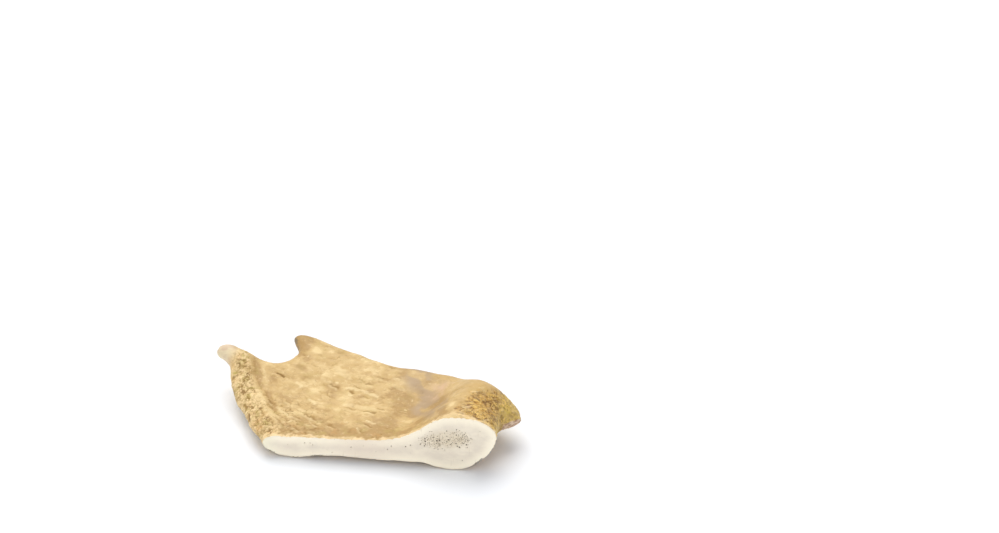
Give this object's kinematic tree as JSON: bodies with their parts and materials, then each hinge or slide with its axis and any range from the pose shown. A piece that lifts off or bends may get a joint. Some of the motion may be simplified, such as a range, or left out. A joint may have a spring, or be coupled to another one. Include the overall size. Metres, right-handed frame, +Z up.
{
  "type": "deer antler piece",
  "caption": "Flat piece sawn from the palm of a deer antler, with a thick beam at one end, blunt tines at the other, and a cream cut face along one side.",
  "frame": {"origin": "middle of the bounding box's footprint, on the surface that the piece lies on", "axes": "+X along the long saw cut, from the tines to the beam; -Y out of the saw cut; +Z up, out of the upper side of the palm"},
  "size_m": [0.1172, 0.058, 0.0236],
  "materials": {
    "antler_bone": "satin"
  },
  "bodies": {
    "root": {"antler": "antler_bone"}
  },
  "joints": []
}
